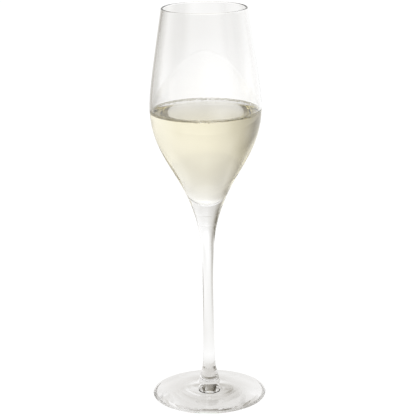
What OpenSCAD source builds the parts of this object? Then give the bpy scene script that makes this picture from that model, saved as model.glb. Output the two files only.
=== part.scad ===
// Tulip champagne flute, filled, standing upright on its foot.
// Units are millimetres. Origin on the table at the centre of the foot, +Z up.
// Pieces: foot, stem, bowl (fused glass), wine and the ring of fine foam at its edge.
// Everything is a body of revolution about the Z axis, so nothing here has a front or a hand.

/* [Overall] */
// Height from the table to the top of the lip
total_height = 235; // [225:0.5:240]
// Number of straight steps used to draw each curve of a profile
curve_steps = 18; // [10:1:28]

/* [Bowl] */
// Outside diameter of the lip
lip_diameter = 49.6; // [46:0.2:54]
// Thickness of the rounded lip
lip_thickness = 1.2; // [0.9:0.1:1.6]
// Outside diameter of the bowl at its widest
belly_diameter = 64.9; // [61:0.1:68]
// Height above the table where the bowl is widest
belly_height = 178; // [174:0.5:182]
// Wall thickness of the bowl at its widest
wall_thickness = 1.1; // [0.8:0.05:1.5]
// Height where the outside of the bowl turns from bulging to flaring
flare_height = 135.2; // [131:0.2:138]
// Outside diameter of the bowl at that height
flare_diameter = 34.4; // [32:0.2:36]
// Height of the bottom of the drinking space
well_height = 120; // [117:0.5:123]
// Thickness of glass, measured level, beside the lower part of the drinking space
heel_thickness = 2.1; // [1.6:0.1:2.8]

/* [Stem] */
// Height of the fused joint between the bowl and the stem
upper_joint_height = 108.2; // [106:0.2:111]
// Diameter of the glass at the upper joint
upper_joint_diameter = 12.2; // [11:0.2:13.4]
// Diameter of the stem at its thinnest
stem_diameter = 6.4; // [5.8:0.1:7.2]
// Height of the thinnest part of the stem
waist_height = 70; // [60:1:78]

/* [Foot] */
// Height of the fused joint between the stem and the foot
lower_joint_height = 16; // [15:0.2:18]
// Diameter of the glass at the lower joint
lower_joint_diameter = 9.0; // [8.2:0.1:9.8]
// Outside diameter of the foot
foot_diameter = 67.8; // [64:0.2:74]
// Thickness of the rounded rim of the foot
foot_edge = 1.55; // [1.3:0.05:2.2]
// How far the rim of the foot stands off the table
rim_lift = 0.75; // [0.4:0.05:1]
// Distance from the flat ring out to the rounded rim
rim_reach = 1.9; // [1.5:0.1:3]
// Width of the flat ring that touches the table
contact_ring = 2.6; // [2:0.1:4]
// Radius where the fillet below the stem runs out into the cone of the foot
fillet_radius = 7.8; // [7:0.1:10]
// Height of the foot at that radius
fillet_height = 8.6; // [7.5:0.05:9.2]
// Height of the hollow under the middle of the foot
foot_hollow = 2.35; // [1.4:0.05:2.8]

/* [Wine] */
// Height of the surface of the wine above the table
wine_level = 174.4; // [150:0.2:175]
// How far the wine climbs the glass at its edge
wine_climb = 2.4; // [0.8:0.1:2.8]
// Width of the curved edge of the wine surface
wine_curl = 2.6; // [2.2:0.1:6]

/* [Foam ring] */
// Width of the ring of fine bubbles along the glass
foam_width = 1.5; // [0.8:0.1:1.6]
// How far the foam stands above the edge of the wine
foam_rise = 0.5; // [0.3:0.1:0.9]

/* [Hidden] */
$fn = 120;
eps = 0.0001;
lip_r = lip_diameter / 2;
lip_t = lip_thickness / 2;
lip_z = total_height - lip_t;
belly_r = belly_diameter / 2;
flare_r = flare_diameter / 2;
uj_r = upper_joint_diameter / 2;
lj_r = lower_joint_diameter / 2;
waist_r = stem_diameter / 2;
foot_r = foot_diameter / 2;
edge_r = foot_edge / 2;
rim_r = foot_r - edge_r;
ring_r = rim_r - rim_reach;
n = curve_steps;

// cubic curve through four control points
function cubic(a, b, c, d, t) =
    pow(1 - t, 3) * a + 3 * pow(1 - t, 2) * t * b + 3 * (1 - t) * t * t * c + t * t * t * d;
// the points of a cubic, without its first one
function run(a, b, c, d, k) = [for (i = [1 : k]) cubic(a, b, c, d, i / k)];
// the points of an arc, without its first one
function arc(cx, cz, r, a0, a1, k) =
    [for (i = [1 : k]) [cx + r * cos(a0 + (a1 - a0) * i / k), cz + r * sin(a0 + (a1 - a0) * i / k)]];
// radius of a rising profile at height z, on its straight steps
function radius_at(p, z) =
    [for (i = [0 : len(p) - 2])
        if (p[i][1] <= z && z < p[i + 1][1])
            p[i][0] + (p[i + 1][0] - p[i][0]) * (z - p[i][1]) / (p[i + 1][1] - p[i][1])][0];

// outside of the bowl, from the upper joint up to the lip
bowl_outside = concat(
    [[uj_r, upper_joint_height]],
    run([uj_r, upper_joint_height],
        [uj_r + 0.24 * 9, upper_joint_height + 9],
        [flare_r - 0.58 * 9, flare_height - 9],
        [flare_r, flare_height], n),
    run([flare_r, flare_height],
        [flare_r + 0.58 * 14, flare_height + 14],
        [belly_r, belly_height - 18],
        [belly_r, belly_height], n),
    run([belly_r, belly_height],
        [belly_r, belly_height + 9],
        [lip_r + 0.16 * 18, lip_z - 18],
        [lip_r, lip_z], n));

// inside of the bowl, from the middle of the well up to the lip
well_r = flare_r - heel_thickness;
inner_belly_r = belly_r - wall_thickness;
bowl_inside = concat(
    [[0, well_height]],
    run([0, well_height],
        [5.2, well_height],
        [well_r - 0.66 * 9, flare_height - 9],
        [well_r, flare_height], n),
    run([well_r, flare_height],
        [well_r + 0.66 * 14, flare_height + 14],
        [inner_belly_r, belly_height - 18],
        [inner_belly_r, belly_height], n),
    run([inner_belly_r, belly_height],
        [inner_belly_r, belly_height + 9],
        [lip_r - 0.9 + 0.16 * 18, lip_z - 18],
        [lip_r - 2 * lip_t, lip_z], n));

// curved edge of the wine surface, from the glass inward
edge_r_wine = radius_at(bowl_inside, wine_level + wine_climb);
wine_edge = concat(
    [[edge_r_wine, wine_level + wine_climb]],
    run([edge_r_wine, wine_level + wine_climb],
        [edge_r_wine - 0.12 * wine_curl, wine_level + 0.23 * wine_climb],
        [edge_r_wine - 0.7 * wine_curl, wine_level],
        [edge_r_wine - wine_curl, wine_level], 10));

// Bowl: thin blown tulip with a rounded lip and a thick flared heel
module bowl() {
    color([0.93, 0.95, 0.95, 0.35])
    rotate_extrude()
    polygon(concat(
        [[0, upper_joint_height]],
        bowl_outside,
        arc(lip_r - lip_t, lip_z, lip_t, 0, 180, 10),
        [for (i = [len(bowl_inside) - 2 : -1 : 0]) bowl_inside[i]]));
}

// Stem: solid rod drawn thin at the waist and flaring a little at both joints
module stem() {
    color([0.90, 0.93, 0.93, 0.4])
    rotate_extrude()
    polygon(concat(
        [[0, lower_joint_height], [lj_r, lower_joint_height]],
        run([lj_r, lower_joint_height],
            [lj_r - 0.33 * 4, lower_joint_height + 4],
            [waist_r + 0.3, lower_joint_height + 16],
            [waist_r + 0.15, lower_joint_height + 26], n),
        run([waist_r + 0.15, lower_joint_height + 26],
            [waist_r + 0.05, lower_joint_height + 36],
            [waist_r, waist_height - 8],
            [waist_r, waist_height], 8),
        run([waist_r, waist_height],
            [waist_r, waist_height + 14],
            [uj_r - 0.24 * 11, upper_joint_height - 11],
            [uj_r, upper_joint_height], n),
        [[0, upper_joint_height]]));
}

// Foot: disc with a rounded rim held just off the table, a low cone, a tight fillet up to the stem and a shallow hollow below
module foot() {
    color([0.90, 0.93, 0.93, 0.4])
    rotate_extrude()
    polygon(concat(
        [[0, foot_hollow], [1.4, foot_hollow]],
        run([1.4, foot_hollow],
            [15.2, foot_hollow],
            [ring_r - contact_ring - 6.7, 0.35],
            [ring_r - contact_ring, 0], n),
        [[ring_r, 0]],
        run([ring_r, 0],
            [ring_r + 0.5 * rim_reach, 0],
            [rim_r - 0.4 * rim_reach, rim_lift],
            [rim_r, rim_lift], 6),
        arc(rim_r, rim_lift + edge_r, edge_r, -90, 84, 12),
        run([rim_r + edge_r * cos(84), rim_lift + edge_r + edge_r * sin(84)],
            [rim_r - 6.2, rim_lift + foot_edge + 0.83],
            [fillet_radius + 5, fillet_height - 0.14 * 5],
            [fillet_radius, fillet_height], n),
        run([fillet_radius, fillet_height],
            [fillet_radius - 2.9, fillet_height + 0.14 * 2.9],
            [lj_r + 0.33 * 6.7, lower_joint_height - 6.7],
            [lj_r, lower_joint_height], n),
        [[0, lower_joint_height]]));
}

// Wine: fills the bowl from the well up to its level and curls up where it meets the glass
module wine() {
    color([0.93, 0.88, 0.62, 0.6])
    rotate_extrude()
    polygon(concat(
        [for (p = bowl_inside) if (p[1] < wine_level + wine_climb - eps) p],
        wine_edge,
        [[0, wine_level]]));
}

// Foam ring: fine bubbles gathered along the glass, resting on the curled edge of the wine
module foam_ring() {
    top = wine_level + wine_climb + foam_rise;
    rest = [for (p = wine_edge) if (p[0] > edge_r_wine - foam_width) p];
    last = rest[len(rest) - 1];
    color([0.95, 0.93, 0.86, 0.8])
    rotate_extrude()
    polygon(concat(
        [for (i = [len(rest) - 1 : -1 : 0]) rest[i]],
        [for (p = bowl_inside) if (p[1] > wine_level + wine_climb + eps && p[1] < top - eps) p],
        [[radius_at(bowl_inside, top), top]],
        run([radius_at(bowl_inside, top), top],
            [edge_r_wine - 0.35 * foam_width, top + 0.1],
            [last[0] - 0.3, last[1] + 0.6],
            last + [0, 0.06], 8)));
}

bowl();
stem();
foot();
wine();
foam_ring();
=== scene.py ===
# Tulip champagne flute: the looks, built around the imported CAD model. All lengths below are in millimetres unless said.
import bpy, bmesh, math
import numpy as np
from mathutils import Matrix, Vector


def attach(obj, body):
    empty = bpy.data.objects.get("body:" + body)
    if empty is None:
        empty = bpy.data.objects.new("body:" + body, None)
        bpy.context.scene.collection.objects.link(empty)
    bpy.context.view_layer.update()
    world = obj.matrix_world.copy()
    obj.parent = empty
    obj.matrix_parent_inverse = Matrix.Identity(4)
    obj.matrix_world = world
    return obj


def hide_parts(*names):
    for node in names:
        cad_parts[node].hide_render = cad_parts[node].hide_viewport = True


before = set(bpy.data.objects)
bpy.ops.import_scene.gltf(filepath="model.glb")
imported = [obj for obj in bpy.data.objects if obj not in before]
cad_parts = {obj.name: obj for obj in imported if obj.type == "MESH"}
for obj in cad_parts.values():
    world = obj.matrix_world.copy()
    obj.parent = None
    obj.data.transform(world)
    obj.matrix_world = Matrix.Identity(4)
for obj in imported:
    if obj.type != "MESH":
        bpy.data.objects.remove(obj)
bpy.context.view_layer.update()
MM = 0.001
FIT = 0.99994            # keeps the round meshes inside the CAD box

# ---------------------------------------------------------------- dimensions, the same as the CAD design
TOTAL = 235.0
LIP_R, LIP_T = 24.8, 0.6
LIP_Z = TOTAL - LIP_T
BELLY_R = 32.45
BELLY_Z = 178.0
WALL = 1.1
FLARE_R = 17.2
FLARE_Z = 135.2
HEEL = 2.1
WELL_Z = 120.0
WELL_A = 5.2             # how flat the bottom of the well is
WELL_S = 0.66            # slope of the inside at the flare
UJ_R, UJ_Z = 6.1, 108.2
WAIST_R, WAIST_Z = 3.2, 70.0
LJ_R = 4.5
LJ_Z = 16.0
ST_A = 4.0
ST_R = 3.5
FOOT_R = 33.9
EDGE_T = 1.55
LIFT = 0.75               # how far the rim stands off the table
REACH = 1.9              # from the flat ring out to the rim
RING = 2.6
HOLLOW = 2.35
EDGE_R = EDGE_T / 2
HOL_R = 1.4
HOL_A = 15.2
HOL_B = 6.7
HOL_C = 0.35
RIP_A = 0.005
RIP_L = 3.8              # from crest to crest
RIP_P = 0.16
KNEE_R = 7.8
KNEE_Z = 8.6
KNEE_S = 0.14           # slope of the foot at the knee
KNEE_O = 5.0             # reach of the outer cone
KNEE_I = 2.9             # reach of the inner flare
EDGE_A = 6.2
EDGE_B = 0.83
LJ_H = 6.7
LJ_S = 0.33
LEVEL = 174.4
CLIMB = 2.4
CURL = 2.6
M_A = 0.12
M_B = 0.23
M_C = 0.7
IN_Z = 178.0
IN_H = 18.0
SEAM_HIGH = 113.9
SEAM_LOW = 107.3
IOR_W = 1.352
IOR_G = 1.52


def bez(a, b, c, d, n, skip=True):
    """Points of a cubic and its unit tangents, as rows r, z, tr, tz."""
    a, b, c, d = (np.array(p, float) for p in (a, b, c, d))
    t = np.linspace(0, 1, n + 1)[:, None]
    p = (1 - t) ** 3 * a + 3 * (1 - t) ** 2 * t * b + 3 * (1 - t) * t * t * c + t ** 3 * d
    q = 3 * (1 - t) ** 2 * (b - a) + 6 * (1 - t) * t * (c - b) + 3 * t * t * (d - c)
    q /= np.maximum(np.linalg.norm(q, axis=1, keepdims=True), 1e-9)
    out = np.hstack([p, q])
    return out[1:] if skip else out


def arc(cr, cz, r, a0, a1, n, skip=True):
    a = np.radians(np.linspace(a0, a1, n + 1))
    s = 1.0 if a1 > a0 else -1.0
    out = np.stack([cr + r * np.cos(a), cz + r * np.sin(a), -s * np.sin(a), s * np.cos(a)], 1)
    return out[1:] if skip else out


def line(a, b, n=1):
    a, b = np.array(a, float), np.array(b, float)
    t = np.linspace(0, 1, n + 1)[:, None]
    d = (b - a) / np.linalg.norm(b - a)
    return np.hstack([a + (b - a) * t, np.tile(d, (n + 1, 1))])


def join(*runs):
    """One smooth run from several that meet: the joint keeps the mean tangent."""
    out = [runs[0]]
    for r in runs[1:]:
        t = out[-1][-1, 2:] + r[0, 2:]
        out[-1] = out[-1].copy()
        out[-1][-1, 2:] = t / np.linalg.norm(t)
        out.append(r[1:])
    return np.vstack(out)


def turned(run):
    out = run[::-1].copy()
    out[:, 2:] *= -1
    return out


def seam(run, z0, high, wide):
    """A rising run with a faint raised line round it at height z0, left where two gathers were fused."""
    z = np.sort(np.concatenate([run[:, 1], z0 + np.linspace(-2.4, 2.4, 17) * wide]))
    out = np.stack([np.interp(z, run[:, 1], run[:, k]) for k in range(4)], 1)
    g = high * np.exp(-((z - z0) / wide) ** 2)
    out[:, 0] += g
    out[:, 2] -= 2 * (z - z0) / wide ** 2 * g * out[:, 3]
    out[:, 2:] /= np.linalg.norm(out[:, 2:], axis=1, keepdims=True)
    return out


N = 40
OUT_LOW = bez((UJ_R, UJ_Z), (UJ_R + 0.24 * 9, UJ_Z + 9), (FLARE_R - 0.58 * 9, FLARE_Z - 9), (FLARE_R, FLARE_Z), N, False)
OUT_MID = bez((FLARE_R, FLARE_Z), (FLARE_R + 0.58 * 14, FLARE_Z + 14), (BELLY_R, BELLY_Z - 18), (BELLY_R, BELLY_Z), N, False)
OUT_TOP = bez((BELLY_R, BELLY_Z), (BELLY_R, BELLY_Z + 9), (LIP_R + 0.16 * 18, LIP_Z - 18), (LIP_R, LIP_Z), N, False)
WELL_R, IN_BELLY = FLARE_R - HEEL, BELLY_R - WALL
IN_LOW = bez((0, WELL_Z), (WELL_A, WELL_Z), (WELL_R - WELL_S * 9, FLARE_Z - 9), (WELL_R, FLARE_Z), N, False)
IN_MID = bez((WELL_R, FLARE_Z), (WELL_R + WELL_S * 14, FLARE_Z + 14), (IN_BELLY, IN_Z - IN_H), (IN_BELLY, IN_Z), N, False)
IN_TOP = bez((IN_BELLY, IN_Z), (IN_BELLY, IN_Z + 9), (LIP_R - 0.9 + 0.16 * 18, LIP_Z - 18), (LIP_R - 2 * LIP_T, LIP_Z), N, False)
INSIDE = join(IN_LOW, IN_MID, IN_TOP)
OUTSIDE = join(OUT_LOW, OUT_MID, OUT_TOP)


def r_inside(z):
    return float(np.interp(z, INSIDE[:, 1], INSIDE[:, 0]))


def lathe(name, runs, seg=224, mats=None):
    """A closed body of revolution. runs: profile runs anticlockwise round the section, starting and ending on the axis,
    each sharing its first point with the last of the one before. Normals are the exact ones of the curves."""
    rings, verts = [], []          # rings: index of first vertex, or a single vertex on the axis
    ang = np.linspace(0, 2 * np.pi, seg, endpoint=False)
    cs, sn = np.cos(ang), np.sin(ang)
    pts = []
    for k, run in enumerate(runs):
        pts += [tuple(p[:2]) for p in (run if k == 0 else run[1:])]
    count = 0
    for (r, z) in pts:
        if r < 1e-6:
            rings.append((count, True))
            verts.append(np.array([[0, 0, z]]))
            count += 1
        else:
            rings.append((count, False))
            verts.append(np.stack([r * cs, r * sn, np.full(seg, z)], 1))
            count += seg
    verts = np.vstack(verts) * MM * np.array([FIT, FIT, 1.0])
    loops, sizes, normals, fmat = [], [], [], []
    j = np.arange(seg)
    j2 = (j + 1) % seg
    gi = 0
    for k, run in enumerate(runs):
        nr, nz = run[:, 3], -run[:, 2]
        for i in range(len(run) - 1):
            (a, ap), (b, bp) = rings[gi], rings[gi + 1]
            na = np.stack([nr[i] * cs, nr[i] * sn, np.full(seg, nz[i])], 1)
            nb = np.stack([nr[i + 1] * cs, nr[i + 1] * sn, np.full(seg, nz[i + 1])], 1)
            if ap and not bp:
                f = np.stack([np.full(seg, a), b + j2, b + j], 1)
                nn = np.stack([np.tile(na.mean(0), (seg, 1)) if abs(nr[i]) < .2 else na, nb[j2], nb[j]], 1)
            elif bp and not ap:
                f = np.stack([a + j, a + j2, np.full(seg, b)], 1)
                nn = np.stack([na[j], na[j2], np.tile(nb.mean(0), (seg, 1)) if abs(nr[i + 1]) < .2 else nb], 1)
            else:
                f = np.stack([a + j, a + j2, b + j2, b + j], 1)
                nn = np.stack([na[j], na[j2], nb[j2], nb[j]], 1)
            loops.append(f.ravel()); sizes += [f.shape[1]] * seg
            normals.append(nn.reshape(-1, 3)); fmat += [(mats[k] if mats else 0)] * seg
            gi += 1
    loops = np.concatenate(loops); normals = np.vstack(normals)
    normals /= np.maximum(np.linalg.norm(normals, axis=1, keepdims=True), 1e-9)
    me = bpy.data.meshes.new(name)
    me.vertices.add(len(verts)); me.vertices.foreach_set("co", verts.ravel())
    me.loops.add(len(loops)); me.loops.foreach_set("vertex_index", loops.astype(np.int32))
    starts = np.concatenate([[0], np.cumsum(sizes)[:-1]]).astype(np.int32)
    me.polygons.add(len(sizes)); me.polygons.foreach_set("loop_start", starts)
    me.polygons.foreach_set("material_index", np.array(fmat, np.int32))
    me.update(calc_edges=True); me.validate()
    me.polygons.foreach_set("use_smooth", np.ones(len(sizes), bool))
    me.normals_split_custom_set(normals.astype(np.float32).tolist())
    ob = bpy.data.objects.new(name, me)
    bpy.context.scene.collection.objects.link(ob)
    return ob


# ---------------------------------------------------------------- materials
WAVES = {"drawn": 0.000012, "spun": 0.000006}      # metres from trough to crest


def new_mat(name):
    m = bpy.data.materials.new(name)
    m.use_nodes = True
    nt = m.node_tree
    nt.nodes.clear()
    out = nt.nodes.new("ShaderNodeOutputMaterial")
    return m, nt, out


def glass_mat(name, ior=IOR_G, waves="drawn"):
    """Clear lead-free glass. Its surface is never quite true: blown and drawn walls have long faint ripples up and down,
    and a spun foot has faint rings."""
    m, nt, out = new_mat(name)
    p = nt.nodes.new("ShaderNodeBsdfPrincipled")
    p.inputs["Base Color"].default_value = (1.0, 0.999, 0.996, 1) if waves == "drawn" else (1.0, 0.995, 0.995, 1)
    p.inputs["Roughness"].default_value = 0.0
    p.inputs["IOR"].default_value = ior
    p.inputs["Transmission Weight"].default_value = 1.0
    nt.links.new(p.outputs[0], out.inputs["Surface"])
    co = nt.nodes.new("ShaderNodeTexCoord")
    broad = nt.nodes.new("ShaderNodeTexNoise")
    broad.inputs["Scale"].default_value = 1.0
    broad.inputs["Detail"].default_value = 1.5
    if waves == "drawn":
        mp = nt.nodes.new("ShaderNodeMapping")
        mp.inputs["Scale"].default_value = (110, 110, 14)
        nt.links.new(co.outputs["Object"], mp.inputs["Vector"])
        nt.links.new(mp.outputs["Vector"], broad.inputs["Vector"])
    else:
        sep = nt.nodes.new("ShaderNodeSeparateXYZ")
        nt.links.new(co.outputs["Object"], sep.inputs[0])
        flat = nt.nodes.new("ShaderNodeCombineXYZ")
        nt.links.new(sep.outputs["X"], flat.inputs["X"]); nt.links.new(sep.outputs["Y"], flat.inputs["Y"])
        ln = nt.nodes.new("ShaderNodeVectorMath"); ln.operation = "LENGTH"
        nt.links.new(flat.outputs[0], ln.inputs[0])
        mul = nt.nodes.new("ShaderNodeMath"); mul.operation = "MULTIPLY"; mul.inputs[1].default_value = 420
        nt.links.new(ln.outputs["Value"], mul.inputs[0])
        sl = nt.nodes.new("ShaderNodeVectorMath"); sl.operation = "SCALE"; sl.inputs["Scale"].default_value = 28
        nt.links.new(co.outputs["Object"], sl.inputs[0])
        add = nt.nodes.new("ShaderNodeVectorMath"); add.operation = "ADD"
        ring = nt.nodes.new("ShaderNodeCombineXYZ")
        nt.links.new(mul.outputs[0], ring.inputs["Z"])
        nt.links.new(ring.outputs[0], add.inputs[0]); nt.links.new(sl.outputs[0], add.inputs[1])
        nt.links.new(add.outputs[0], broad.inputs["Vector"])
    height = broad.outputs["Fac"]
    if waves == "spun":                                # the rings die away before the fire-polished rim
        fade = nt.nodes.new("ShaderNodeMapRange"); fade.interpolation_type = "SMOOTHSTEP"
        fade.inputs["From Min"].default_value = 0.019; fade.inputs["From Max"].default_value = 0.027
        fade.inputs["To Min"].default_value = 1.0; fade.inputs["To Max"].default_value = 0.0
        nt.links.new(ln.outputs["Value"], fade.inputs["Value"])
        mix = nt.nodes.new("ShaderNodeMath"); mix.operation = "MULTIPLY"
        nt.links.new(height, mix.inputs[0]); nt.links.new(fade.outputs["Result"], mix.inputs[1])
        height = mix.outputs[0]
    bump = nt.nodes.new("ShaderNodeBump")
    bump.inputs["Strength"].default_value = 1.0
    bump.inputs["Distance"].default_value = WAVES[waves]
    nt.links.new(height, bump.inputs["Height"])
    nt.links.new(bump.outputs["Normal"], p.inputs["Normal"])
    return m


def clear_mat(name):
    m, nt, out = new_mat(name)
    t = nt.nodes.new("ShaderNodeBsdfTransparent")
    nt.links.new(t.outputs[0], out.inputs["Surface"])
    return m


BOWL_GLASS = glass_mat("bowl_glass")
STEM_GLASS = glass_mat("stem_glass")
FOOT_GLASS = glass_mat("foot_glass", waves="spun")
WET_GLASS = glass_mat("wetted_glass", IOR_G / IOR_W)
WELD = clear_mat("fused_joint")


def wine_mat():
    """Wine against air at its surface. Where it wets the glass, the bending is in the glass there, so the wine's own side bends nothing."""
    m, nt, out = new_mat("sparkling_wine")
    p = nt.nodes.new("ShaderNodeBsdfPrincipled")
    at = nt.nodes.new("ShaderNodeAttribute"); at.attribute_name = "wet"
    mr = nt.nodes.new("ShaderNodeMapRange")
    mr.inputs["To Min"].default_value = IOR_W; mr.inputs["To Max"].default_value = 1.0
    nt.links.new(at.outputs["Fac"], mr.inputs["Value"]); nt.links.new(mr.outputs["Result"], p.inputs["IOR"])
    p.inputs["Base Color"].default_value = (1, 1, 1, 1)
    p.inputs["Roughness"].default_value = 0.0
    p.inputs["IOR"].default_value = IOR_W
    p.inputs["Transmission Weight"].default_value = 1.0
    nt.links.new(p.outputs[0], out.inputs["Surface"])
    v = nt.nodes.new("ShaderNodeVolumeAbsorption")
    v.inputs["Color"].default_value = (0.94, 0.857, 0.47, 1)
    v.inputs["Density"].default_value = 10.0
    nt.links.new(v.outputs[0], out.inputs["Volume"])
    return m


WINE = wine_mat()


def foam_mat():
    m, nt, out = new_mat("fine_foam")
    p = nt.nodes.new("ShaderNodeBsdfPrincipled")
    p.inputs["Base Color"].default_value = (0.56, 0.55, 0.48, 1)
    p.inputs["Roughness"].default_value = 0.08
    p.inputs["IOR"].default_value = 1.33
    p.inputs["Transmission Weight"].default_value = 0.45
    co = nt.nodes.new("ShaderNodeTexCoord")
    n = nt.nodes.new("ShaderNodeTexNoise"); n.inputs["Scale"].default_value = 2600
    bump = nt.nodes.new("ShaderNodeBump"); bump.inputs["Strength"].default_value = 0.4; bump.inputs["Distance"].default_value = 0.00002
    nt.links.new(co.outputs["Object"], n.inputs["Vector"]); nt.links.new(n.outputs["Fac"], bump.inputs["Height"])
    nt.links.new(bump.outputs["Normal"], p.inputs["Normal"])
    nt.links.new(p.outputs[0], out.inputs["Surface"])
    return m


FOAM = foam_mat()

# ---------------------------------------------------------------- glass
z_top = LEVEL + CLIMB
rc = r_inside(z_top)
cut = np.searchsorted(INSIDE[:, 1], z_top)
f = (z_top - INSIDE[cut - 1, 1]) / (INSIDE[cut, 1] - INSIDE[cut - 1, 1])
contact = INSIDE[cut - 1] * (1 - f) + INSIDE[cut] * f
WET = np.vstack([INSIDE[:cut], contact])
DRY = np.vstack([contact, INSIDE[cut:]])
bowl = lathe("flute_bowl", [
    line((0, UJ_Z), (UJ_R, UJ_Z), 4),
    join(seam(OUTSIDE, SEAM_HIGH, 0.07, 0.35), arc(LIP_R - LIP_T, LIP_Z, LIP_T, 0, 180, 16, False), turned(DRY)),
    turned(WET),
], mats=[1, 0, 2])
bowl.data.materials.append(BOWL_GLASS); bowl.data.materials.append(WELD); bowl.data.materials.append(WET_GLASS)

stem_side = join(
    bez((LJ_R, LJ_Z), (LJ_R - LJ_S * ST_A, LJ_Z + ST_A), (ST_R, LJ_Z + 16), (WAIST_R + 0.15, LJ_Z + 26), N, False),
    bez((WAIST_R + 0.15, LJ_Z + 26), (WAIST_R + 0.05, LJ_Z + 36), (WAIST_R, WAIST_Z - 8), (WAIST_R, WAIST_Z), 16, False),
    bez((WAIST_R, WAIST_Z), (WAIST_R, WAIST_Z + 14), (UJ_R - 0.24 * 11, UJ_Z - 11), (UJ_R, UJ_Z), N, False))
stem = lathe("flute_stem", [line((0, LJ_Z), (LJ_R, LJ_Z), 4), seam(stem_side, SEAM_LOW, 0.08, 0.35), line((UJ_R, UJ_Z), (0, UJ_Z), 4)],
             seg=160, mats=[1, 0, 1])
stem.data.materials.append(STEM_GLASS); stem.data.materials.append(WELD)

RIM_R = FOOT_R - EDGE_R
RING_R = RIM_R - REACH
IN_RING = RING_R - RING


def rippled(run, r0, r1):
    """Faint rings left by the spinning, strongest between radii r0 and r1."""
    out = run.copy()
    r = out[:, 0]
    fade = np.clip((r - r0) / 2, 0, 1) * np.clip((r1 - r) / 3, 0, 1)
    turn = 2 * np.pi * (r / RIP_L + RIP_P)
    out[:, 1] += RIP_A * fade * np.cos(turn)
    out[:, 3] -= RIP_A * fade * 2 * np.pi / RIP_L * np.sin(turn) * out[:, 2]
    out[:, 2:] /= np.linalg.norm(out[:, 2:], axis=1, keepdims=True)
    return out


foot_low = join(line((0, HOLLOW), (HOL_R, HOLLOW), 1),
                rippled(bez((HOL_R, HOLLOW), (HOL_A, HOLLOW), (IN_RING - HOL_B, HOL_C), (IN_RING, 0), 72, False), 3, 24))
a84 = math.radians(84)
e84 = (RIM_R + EDGE_R * math.cos(a84), LIFT + EDGE_R + EDGE_R * math.sin(a84))
foot_top = join(bez((RING_R, 0), (RING_R + 0.5 * REACH, 0), (RIM_R - 0.4 * REACH, LIFT), (RIM_R, LIFT), 16, False),
                arc(RIM_R, LIFT + EDGE_R, EDGE_R, -90, 84, 28, False),
                bez(e84, (RIM_R - EDGE_A, LIFT + EDGE_T + EDGE_B), (KNEE_R + KNEE_O, KNEE_Z - KNEE_S * KNEE_O), (KNEE_R, KNEE_Z), N, False),
                bez((KNEE_R, KNEE_Z), (KNEE_R - KNEE_I, KNEE_Z + KNEE_S * KNEE_I), (LJ_R + LJ_S * LJ_H, LJ_Z - LJ_H), (LJ_R, LJ_Z), N, False))
foot = lathe("flute_foot", [foot_low, line((IN_RING, 0), (RING_R, 0), 3), foot_top,
                            line((LJ_R, LJ_Z), (0, LJ_Z), 4)], mats=[0, 0, 0, 1])
foot.data.materials.append(FOOT_GLASS); foot.data.materials.append(WELD)

# ---------------------------------------------------------------- wine: it wets the glass, so its side lies a hair inside the wall
SOAK = 0.012
side = WET.copy()
side[:, 0] = WET[:, 0] + SOAK * WET[:, 3]
side[:, 1] = WET[:, 1] - SOAK * WET[:, 2]
side[0, 0] = 0
side[-1, :2] = (rc + SOAK, z_top)
edge = bez((rc + SOAK, z_top), (rc - M_A * CURL, LEVEL + M_B * CLIMB), (rc - M_C * CURL, LEVEL), (rc - CURL, LEVEL), 32, False)
top = join(edge, line((rc - CURL, LEVEL), (0, LEVEL), 12))
wine = lathe("sparkling_wine", [side, top])
wine.data.materials.append(WINE)
wet = wine.data.attributes.new("wet", "FLOAT", "FACE")
wet.data.foreach_set("value", np.repeat([1.0, 0.0], [224 * (len(side) - 1), 224 * (len(top) - 1)]))

# ---------------------------------------------------------------- fine bubbles gathered along the glass
def bubbles(name, places):
    """One closed round bubble for each (x, y, z, radius)."""
    bm = bmesh.new()
    bmesh.ops.create_icosphere(bm, subdivisions=2, radius=1.0)
    bv = np.array([v.co[:] for v in bm.verts]); bf = np.array([[v.index for v in f.verts] for f in bm.faces])
    bm.free()
    p = np.array(places)
    verts = (bv[None] * p[:, None, 3:4] + p[:, None, :3]).reshape(-1, 3) * MM
    faces = (bf[None] + (np.arange(len(p)) * len(bv))[:, None, None]).reshape(-1, 3)
    me = bpy.data.meshes.new(name)
    me.from_pydata(verts.tolist(), [], faces.tolist())
    me.polygons.foreach_set("use_smooth", np.ones(len(faces), bool))
    ob = bpy.data.objects.new(name, me)
    bpy.context.scene.collection.objects.link(ob)
    return ob


def z_surface(r):
    k = np.argsort(edge[:, 0])
    return float(np.interp(r, edge[k, 0], edge[k, 1]))


rng = np.random.default_rng(7)
places = []
# rows of bubbles that cling to the glass: depth below the contact line, share of places filled, smallest and largest radius
for depth, keep, lo, hi in ((0.62, 0.9, 0.18, 0.28), (1.05, 0.94, 0.20, 0.32), (1.55, 0.9, 0.22, 0.34), (2.05, 0.3, 0.14, 0.26)):
    a = rng.uniform(0, 0.01)
    while a < 2 * math.pi:
        rad = rng.uniform(lo, hi)
        z = z_top - depth + rng.uniform(-0.12, 0.12)
        r = r_inside(z) - rad - 0.03
        if rng.random() < keep:
            places.append((r * math.cos(a), r * math.sin(a), z, rad))
        a += (2 * rad + rng.uniform(0.02, 0.12)) / r
# and a few that float loose on the curled edge
for _ in range(170):
    a, rad, gap = rng.uniform(0, 2 * math.pi), rng.uniform(0.12, 0.24), rng.uniform(0.6, 2.6)
    r = rc - gap - rad
    places.append((r * math.cos(a), r * math.sin(a), z_surface(r) + 0.3 * rad, rad))
foam = bubbles("bubble_ring", places)
foam.data.materials.append(FOAM)

for ob, node, slot in ((bowl, "bowl", "bowl_glass"), (stem, "stem", "stem_glass"), (foot, "foot", "foot_glass"),
                       (wine, "wine", "sparkling_wine"), (foam, "foam_ring", "fine_foam")):
    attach(ob, "root"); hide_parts(node)

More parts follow.
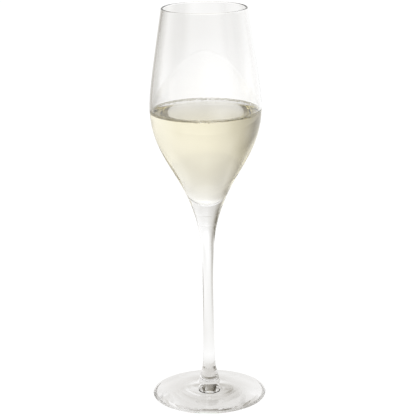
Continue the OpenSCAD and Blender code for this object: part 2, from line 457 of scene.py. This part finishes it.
# ---------------------------------------------------------------- floor, light, camera
GLASSES = (bowl, stem, foot, wine, foam)
for ob in GLASSES:
    ob.visible_shadow = False
    ob.visible_diffuse = False

# Plain white paper floor, lit by an even white studio.
floor_mesh = bpy.data.meshes.new("floor")
s = 3.0
floor_mesh.from_pydata([(-s, -s, -0.0002), (s, -s, -0.0002), (s, s, -0.0002), (-s, s, -0.0002)], [], [(0, 1, 2, 3)])
floor = bpy.data.objects.new("floor", floor_mesh)
bpy.context.scene.collection.objects.link(floor)
fm, nt, out = new_mat("floor_paper")
d = nt.nodes.new("ShaderNodeBsdfDiffuse"); d.inputs["Color"].default_value = (0.93, 0.93, 0.93, 1)
nt.links.new(d.outputs[0], out.inputs["Surface"])
floor_mesh.materials.append(fm)
floor.visible_glossy = False
floor.visible_transmission = False

w = bpy.data.worlds.new("studio"); bpy.context.scene.world = w
w.use_nodes = True
bg = w.node_tree.nodes["Background"]
bg.inputs["Color"].default_value = (1, 1, 1, 1); bg.inputs["Strength"].default_value = 1.15

# What the glass mirrors and bends: a soft glowing tent that is its light, and a table top whose light and shade are
# painted in as glow, darkest under the foot as a painted contact shadow.
# Rows are (degrees up, or metres out on the table) and then brightness at compass angles, 0 behind the glass, 90 to its
# right.
TENT = [
    (0, {-180: 0.15, -160: 0.05, -140: 0.15, -120: 0.05, -100: 0.65, -80: 1.05, -60: 0.4, -40: 0.2, -20: 0.65, 0: 0.9, 20: 0.95, 40: 1.05, 60: 1.25, 80: 1.1, 100: 0.05, 120: 0.25, 140: 0.65, 160: 0.6}),
    (8, {-180: 0.55, -160: 0.4, -140: 0.4, -120: 0.5, -100: 0.8, -80: 0.9, -60: 0.25, -40: 0.15, -20: 0.65, 0: 0.85, 20: 0.85, 40: 1, 60: 1.05, 80: 0.05, 100: 0.05, 120: 0.8, 140: 0.8, 160: 0.8}),
    (17, {-180: 0.15, -160: 0.05, -140: 0.05, -120: 0.05, -100: 0.55, -80: 0.6, -60: 0.6, -40: 0.35, -20: 0.75, 0: 0.35, 20: 0.95, 40: 0.9, 60: 0.9, 80: 0.15, 100: 0.15, 120: 0.3, 140: 0.3, 160: 0.4}),
    (26, {-180: 0.1, -160: 0.05, -140: 0.05, -120: 0.7, -100: 0.8, -80: 0.7, -60: 0.5, -40: 0.3, -20: 0.85, 0: 1.2, 20: 1.2, 40: 1.25, 60: 1.2, 80: 1.05, 100: 1.05, 120: 0.15, 140: 0.05, 160: 0.1}),
    (36, {-180: 0.05, -120: 0.05, -60: 0.1, 0: 0.4, 60: 0.05, 120: 0.65}),
    (50, {-180: 1.15, -120: 0.45, -60: 0.05, 0: 0.2, 60: 1.3, 120: 1.25}),
    (75, {0: 0.3}),
]
PAINTED_TABLE_LIGHT = [
    # painted contact shadow: the table glows less under and just round the foot
    (0.012, {0: 0.7}),
    (0.03, {-180: 0.85, -90: 0.95, 0: 0.7, 90: 1}),
    (0.06, {0: 1}),
    (0.11, {-180: 1.3, -90: 0.8, 0: 0.9, 90: 0.8}),
    (0.2, {-180: 1.4, -160: 1.4, -140: 1.4, -120: 1.35, -100: 1.15, -80: 0.95, -60: 0.85, -40: 0.6, -20: 0.85, 0: 0.9, 20: 0.95, 40: 0.95, 60: 0.15, 80: 0.05, 100: 0.05, 120: 1.4, 140: 1.4, 160: 1.4}),
    (0.36, {-180: 1, -160: 0.9, -140: 0.95, -120: 0.05, -100: 0.8, -80: 0.8, -60: 0.45, -40: 0.5, -20: 0.9, 0: 1.05, 20: 0.9, 40: 0.95, 60: 1.35, 80: 1.25, 100: 0.2, 120: 0.2, 140: 1.25, 160: 1.15}),
    (0.65, {-180: 0.6, -150: 0.6, -120: 0.05, -90: 0.75, -60: 1, -30: 0.45, 0: 1.2, 30: 1, 60: 1.4, 90: 0.05, 120: 0.05, 150: 1.4}),
    (1.4, {-180: 0.35, -150: 0.3, -120: 0.05, -90: 0.5, -60: 0.15, -30: 0.5, 0: 0.95, 30: 1, 60: 1.25, 90: 0.05, 120: 0.35, 150: 1.4}),
]


def row_value(row, az):
    k = sorted(row)
    xs = [k[-1] - 360] + k + [k[0] + 360]
    return np.interp((az + 180) % 360 - 180, xs, [row[k[-1]]] + [row[q] for q in k] + [row[k[0]]])


def stage_mesh(name, rows, pos, where, log=False):
    """A grid of pos rows by one degree, coloured from the rows' brightness."""
    az = np.arange(-180, 180, 1.0)
    keys = [math.log(r[0]) if log else r[0] for r in rows]
    tab = np.array([row_value(r[1], az) for r in rows])
    verts, tone = [], []
    for p in pos:
        q = math.log(p) if log else p
        verts += [where(p, math.radians(a)) for a in az]
        tone.append([np.interp(q, keys, tab[:, i]) for i in range(len(az))])
    n = len(az)
    faces = [(i * n + j, i * n + (j + 1) % n, (i + 1) * n + (j + 1) % n, (i + 1) * n + j)
             for i in range(len(pos) - 1) for j in range(n)]
    me = bpy.data.meshes.new(name); me.from_pydata(verts, [], faces)
    v = np.array(tone).ravel(); u = np.minimum(v, 1.0)
    col = me.attributes.new("tone", "FLOAT_COLOR", "POINT")
    f = np.maximum(u, 1e-3)
    col.data.foreach_set("color", np.stack([v * f ** -0.05, v, v * f ** 0.11, np.ones_like(v)], 1).ravel())
    m, nt, out = new_mat(name)
    at = nt.nodes.new("ShaderNodeAttribute"); at.attribute_name = "tone"
    em = nt.nodes.new("ShaderNodeEmission")
    nt.links.new(at.outputs["Color"], em.inputs["Color"]); nt.links.new(em.outputs[0], out.inputs["Surface"])
    m.cycles.emission_sampling = "NONE"
    me.materials.append(m)
    ob = bpy.data.objects.new(name, me)
    bpy.context.scene.collection.objects.link(ob)
    ob.visible_camera = ob.visible_diffuse = ob.visible_shadow = ob.visible_volume_scatter = False
    return ob


stage_mesh("tent", TENT, list(np.arange(-2.3, 90, 1.42)),
           lambda e, a: (3 * math.sin(a) * math.cos(math.radians(e)), 3 * math.cos(a) * math.cos(math.radians(e)),
                         0.12 + 3 * math.sin(math.radians(e))))
# The table top is painted light and shade, seen only in the glass; the camera sees the white paper floor instead.
stage_mesh("table_painted_light", PAINTED_TABLE_LIGHT, list(np.geomspace(0.0008, 3.2, 60)),
           lambda r, a: (r * math.sin(a), r * math.cos(a), -0.00006), log=True)

cam_data = bpy.data.cameras.new("camera")
cam = bpy.data.objects.new("camera", cam_data)
bpy.context.scene.collection.objects.link(cam)
cam_data.lens = 137.76; cam_data.sensor_width = 36.0
cam_data.clip_start = 0.01; cam_data.clip_end = 50
cam.matrix_world = (Matrix.Translation((0, -0.8964, 0.3662)) @ Matrix.Rotation(math.radians(90 - 15.512), 4, "X")
                    @ Matrix.Rotation(math.radians(-0.795), 4, "Z"))
sc = bpy.context.scene
sc.camera = cam
sc.view_settings.view_transform = "Standard"
sc.view_settings.look = "None"
sc.cycles.max_bounces = 32
sc.cycles.transmission_bounces = 32
sc.cycles.glossy_bounces = 16
sc.cycles.diffuse_bounces = 4
sc.cycles.transparent_max_bounces = 32
sc.cycles.caustics_reflective = True
sc.cycles.caustics_refractive = True
